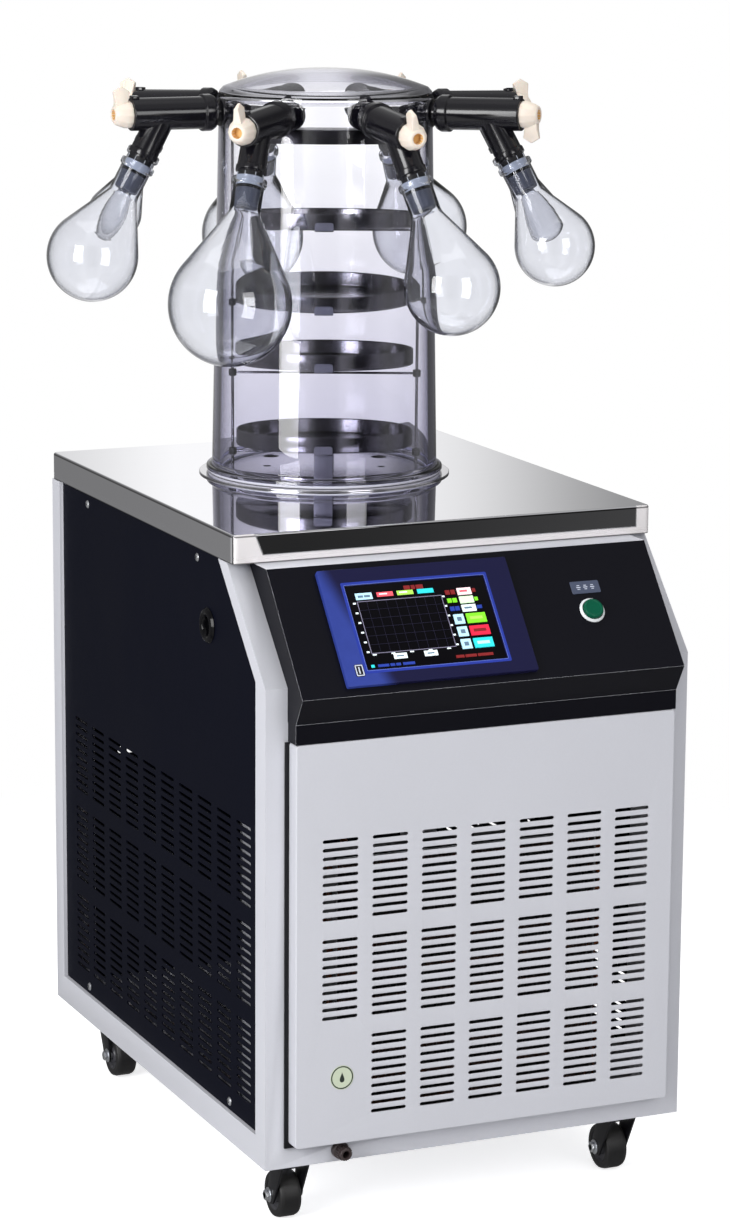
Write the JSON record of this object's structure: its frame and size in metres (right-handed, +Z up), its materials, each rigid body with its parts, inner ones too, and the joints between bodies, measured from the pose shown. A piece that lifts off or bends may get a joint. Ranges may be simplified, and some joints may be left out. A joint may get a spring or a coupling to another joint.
{
  "type": "freeze dryer",
  "caption": "Freeze dryer: caster cabinet with a cold trap, a sloped touch console and a clear drum of trays ringed by knob valves that carry pear-shaped flasks.",
  "frame": {"origin": "centre of the overall bounding box in plan, at floor level", "axes": "+Z up, the console and the front grille face -Y, +X to the right of someone who faces the console"},
  "size_m": [0.6014, 0.7864, 1.176],
  "materials": {
    "white_paint": "satin powder coat, light bluish grey-white",
    "top_steel": "polished stainless sheet",
    "black_paint": "satin blue-black powder coat",
    "console_paint": "satin blue-black powder coat",
    "display_blue": "glossy navy frame",
    "display_glass": "dark screen behind clear cover",
    "button_white": "white ring",
    "button_green": "dark green cap",
    "black_rubber": "matte black",
    "fin_aluminium": "finned coil",
    "zinc_steel": "zinc-plated sheet",
    "fan_plastic": "matte black",
    "trap_steel": "brushed stainless",
    "rack_steel": "dark brushed stainless",
    "seal_silicone": "translucent silicone",
    "clear_acrylic": "clear moulded acrylic",
    "valve_black": "satin black moulded rubber and plastic",
    "knob_cream": "cream moulded plastic",
    "flask_glass": "clear borosilicate glass",
    "caster_black": "black stamped steel",
    "caster_tyre": "black rubber tread"
  },
  "bodies": {
    "cabinet": {"cabinet_frame": "white_paint", "top_plate": "top_steel", "front_panel": "white_paint", "left_side_panel": "black_paint", "right_side_panel": "black_paint", "rear_panel": "black_paint", "console_housing": "console_paint", "drain_outlet": "black_rubber", "side_grommet": "black_rubber", "power_inlet": "black_rubber", "vacuum_port": "zinc_steel", "compressor": "black_paint", "condenser": "fin_aluminium", "display_bezel": "display_blue", "display_screen": "display_glass", "button_bezel": "button_white", "fan_shroud": "zinc_steel", "cold_trap": "trap_steel", "trap_plate": "rack_steel", "base_seal": "seal_silicone", "acrylic_drum": "clear_acrylic", "shelf_rack": "rack_steel", "tray_1": "rack_steel", "tray_2": "rack_steel", "tray_3": "rack_steel", "tray_4": "rack_steel", "valve_body_front": "valve_black", "flask_front": "flask_glass", "valve_body_front_right": "valve_black", "flask_front_right": "flask_glass", "valve_body_right": "valve_black", "flask_right": "flask_glass", "valve_body_rear_right": "valve_black", "flask_rear_right": "flask_glass", "valve_body_rear": "valve_black", "flask_rear": "flask_glass", "valve_body_rear_left": "valve_black", "flask_rear_left": "flask_glass", "valve_body_left": "valve_black", "flask_left": "flask_glass", "valve_body_front_left": "valve_black", "flask_front_left": "flask_glass"},
    "knob_front": {"knob_front": "knob_cream"},
    "knob_front_right": {"knob_front_right": "knob_cream"},
    "knob_right": {"knob_right": "knob_cream"},
    "knob_rear_right": {"knob_rear_right": "knob_cream"},
    "knob_rear": {"knob_rear": "knob_cream"},
    "knob_rear_left": {"knob_rear_left": "knob_cream"},
    "knob_left": {"knob_left": "knob_cream"},
    "knob_front_left": {"knob_front_left": "knob_cream"},
    "start_button": {"start_button": "button_green"},
    "fan_rotor": {"fan_rotor": "fan_plastic"},
    "caster_fork_front_left": {"caster_fork_front_left": "caster_black"},
    "caster_wheel_front_left": {"caster_wheel_front_left": "caster_tyre"},
    "caster_fork_front_right": {"caster_fork_front_right": "caster_black"},
    "caster_wheel_front_right": {"caster_wheel_front_right": "caster_tyre"},
    "caster_fork_rear_left": {"caster_fork_rear_left": "caster_black"},
    "caster_wheel_rear_left": {"caster_wheel_rear_left": "caster_tyre"},
    "caster_fork_rear_right": {"caster_fork_rear_right": "caster_black"},
    "caster_wheel_rear_right": {"caster_wheel_rear_right": "caster_tyre"}
  },
  "joints": [
    {"name": "knob_front_turn", "type": "hinge", "parent": "cabinet", "child": "knob_front", "pos_m": [0.01908, -0.05661, 1.131], "axis": [0, -0.9949, -0.1011], "range_deg": [0, 180]},
    {"name": "knob_front_right_turn", "type": "hinge", "parent": "cabinet", "child": "knob_front_right", "pos_m": [0.10207, -0.02223, 1.131], "axis": [0.707, -0.707, 0.0175], "range_deg": [-180, 0]},
    {"name": "knob_right_turn", "type": "hinge", "parent": "cabinet", "child": "knob_right", "pos_m": [0.13645, 0.06076, 1.131], "axis": [0.9998, 0, -0.0175], "range_deg": [0, 180]},
    {"name": "knob_rear_right_turn", "type": "hinge", "parent": "cabinet", "child": "knob_rear_right", "pos_m": [0.10207, 0.14375, 1.131], "axis": [0.7067, 0.7067, -0.0349], "range_deg": [0, 180]},
    {"name": "knob_rear_turn", "type": "hinge", "parent": "cabinet", "child": "knob_rear", "pos_m": [0.01908, 0.17812, 1.131], "axis": [0, 0.9998, -0.0175], "range_deg": [0, 180]},
    {"name": "knob_rear_left_turn", "type": "hinge", "parent": "cabinet", "child": "knob_rear_left", "pos_m": [-0.06391, 0.14375, 1.131], "axis": [-0.7069, 0.7069, -0.0262], "range_deg": [0, 180]},
    {"name": "knob_left_turn", "type": "hinge", "parent": "cabinet", "child": "knob_left", "pos_m": [-0.09828, 0.06076, 1.131], "axis": [-1, 0, 0], "range_deg": [0, 180]},
    {"name": "knob_front_left_turn", "type": "hinge", "parent": "cabinet", "child": "knob_front_left", "pos_m": [-0.06391, -0.02223, 1.131], "axis": [-0.7058, -0.7058, -0.061], "range_deg": [0, 180]},
    {"name": "start_button_press", "type": "slide", "parent": "cabinet", "child": "start_button", "axis": [0, 0.7712, -0.6366], "range_m": [0, 0.003], "stiffness_N_per_m": 500, "springref_m": -0.003},
    {"name": "fan_rotor_spin", "type": "hinge", "parent": "cabinet", "child": "fan_rotor", "pos_m": [0.01908, -0.28294, 0.2506], "axis": [0, 1, 0], "continuous": true},
    {"name": "caster_front_left_swivel", "type": "hinge", "parent": "cabinet", "child": "caster_fork_front_left", "pos_m": [-0.17292, -0.30724, 0.06], "axis": [0, 0, 1], "continuous": true},
    {"name": "caster_front_left_roll", "type": "hinge", "parent": "caster_fork_front_left", "child": "caster_wheel_front_left", "pos_m": [-0.17292, -0.28724, 0.025], "axis": [1, 0, 0], "continuous": true},
    {"name": "caster_front_right_swivel", "type": "hinge", "parent": "cabinet", "child": "caster_fork_front_right", "pos_m": [0.21108, -0.30724, 0.06], "axis": [0, 0, 1], "continuous": true},
    {"name": "caster_front_right_roll", "type": "hinge", "parent": "caster_fork_front_right", "child": "caster_wheel_front_right", "pos_m": [0.21108, -0.28724, 0.025], "axis": [1, 0, 0], "continuous": true},
    {"name": "caster_rear_left_swivel", "type": "hinge", "parent": "cabinet", "child": "caster_fork_rear_left", "pos_m": [-0.17292, 0.23176, 0.06], "axis": [0, 0, 1], "continuous": true},
    {"name": "caster_rear_left_roll", "type": "hinge", "parent": "caster_fork_rear_left", "child": "caster_wheel_rear_left", "pos_m": [-0.17292, 0.21176, 0.025], "axis": [1, 0, 0], "continuous": true},
    {"name": "caster_rear_right_swivel", "type": "hinge", "parent": "cabinet", "child": "caster_fork_rear_right", "pos_m": [0.21108, 0.23176, 0.06], "axis": [0, 0, 1], "continuous": true},
    {"name": "caster_rear_right_roll", "type": "hinge", "parent": "caster_fork_rear_right", "child": "caster_wheel_rear_right", "pos_m": [0.21108, 0.21176, 0.025], "axis": [1, 0, 0], "continuous": true}
  ]
}
